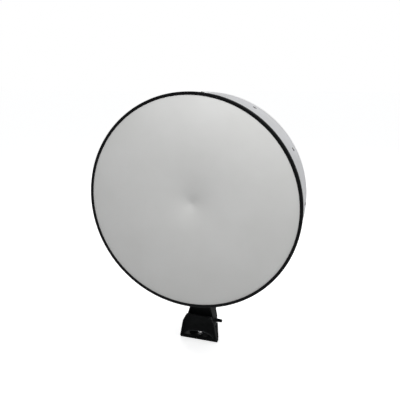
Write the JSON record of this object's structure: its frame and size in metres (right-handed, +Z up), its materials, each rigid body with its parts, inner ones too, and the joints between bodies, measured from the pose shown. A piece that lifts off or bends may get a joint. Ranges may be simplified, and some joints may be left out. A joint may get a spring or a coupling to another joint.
{
  "type": "shrouded parabolic dish antenna",
  "caption": "Shrouded parabolic dish antenna with a plastic radome, black edge trim, rear hub and turning feed, on a black bracket that swivels and tilts.",
  "frame": {"origin": "on the azimuth axis, at the underside of the base plate", "axes": "-Y is the way the antenna looks, +Z is up, +X is to the right as the face is looked at"},
  "size_m": [0.6684, 0.3206, 0.8442],
  "materials": {
    "radome_sheet": "satin",
    "black_rubber": "matte",
    "shroud_paint": "satin",
    "absorber_foam": "matte",
    "reflector_metal": "satin",
    "cast_aluminium": "satin",
    "black_powder_coat": "satin",
    "zinc_plated_steel": "satin",
    "blackened_steel": "satin",
    "feed_dielectric": "satin",
    "bush_nylon": "satin"
  },
  "bodies": {
    "base": {"base_plate": "black_powder_coat", "azimuth_washer": "zinc_plated_steel", "azimuth_bolt": "zinc_plated_steel", "azimuth_lock_left_washer": "blackened_steel", "azimuth_lock_left_bolt": "blackened_steel", "azimuth_lock_right_washer": "blackened_steel", "azimuth_lock_right_bolt": "blackened_steel", "azimuth_lock_front_washer": "zinc_plated_steel", "azimuth_lock_front_bolt": "zinc_plated_steel"},
    "yoke": {"yoke": "black_powder_coat", "elevation_quadrant": "black_powder_coat", "elevation_bolt": "blackened_steel", "elevation_nut": "blackened_steel", "elevation_washer_left": "blackened_steel", "elevation_washer_right": "blackened_steel", "pivot_bush_left": "bush_nylon", "pivot_bush_right": "bush_nylon", "thread_cap": "black_rubber"},
    "antenna": {"support_arm": "black_powder_coat", "radome": "radome_sheet", "edge_trim": "black_rubber", "shroud": "shroud_paint", "absorber_liner": "absorber_foam", "reflector": "reflector_metal", "shroud_screw_01": "zinc_plated_steel", "shroud_screw_02": "zinc_plated_steel", "shroud_screw_03": "zinc_plated_steel", "shroud_screw_04": "zinc_plated_steel", "shroud_screw_05": "zinc_plated_steel", "shroud_screw_06": "zinc_plated_steel", "shroud_screw_07": "zinc_plated_steel", "shroud_screw_08": "zinc_plated_steel", "shroud_screw_09": "zinc_plated_steel", "shroud_screw_10": "zinc_plated_steel", "shroud_screw_11": "zinc_plated_steel", "shroud_screw_12": "zinc_plated_steel", "backing_ring": "cast_aluminium", "hub": "cast_aluminium", "hub_bolt_1": "zinc_plated_steel", "hub_bolt_2": "zinc_plated_steel", "hub_bolt_3": "zinc_plated_steel", "hub_bolt_4": "zinc_plated_steel", "hub_nut_1": "zinc_plated_steel", "hub_nut_2": "zinc_plated_steel", "hub_nut_3": "zinc_plated_steel", "hub_nut_4": "zinc_plated_steel", "feed_clamp_screw_1": "zinc_plated_steel", "feed_clamp_screw_2": "zinc_plated_steel", "feed_clamp_screw_3": "zinc_plated_steel", "elevation_lock_bolt": "blackened_steel", "elevation_lock_nut": "zinc_plated_steel", "lock_spacer_left": "zinc_plated_steel", "lock_spacer_right": "zinc_plated_steel"},
    "feed": {"feed_tube": "cast_aluminium", "feed_cone": "feed_dielectric", "splash_plate": "cast_aluminium", "feed_seal": "black_rubber", "feed_collar": "cast_aluminium", "waveguide_transition": "cast_aluminium", "input_flange": "cast_aluminium"}
  },
  "joints": [
    {"name": "azimuth_swing", "type": "hinge", "parent": "base", "child": "yoke", "pos_m": [0, 0, 0.013], "axis": [0, 0, 1], "range_deg": [-15, 15]},
    {"name": "elevation_tilt", "type": "hinge", "parent": "yoke", "child": "antenna", "pos_m": [0, 0, 0.062], "axis": [-1, 0, 0], "range_deg": [-15, 15]},
    {"name": "polarisation_turn", "type": "hinge", "parent": "antenna", "child": "feed", "pos_m": [0, 0.132, 0.51], "axis": [0, 1, 0], "range_deg": [0, 90]}
  ]
}
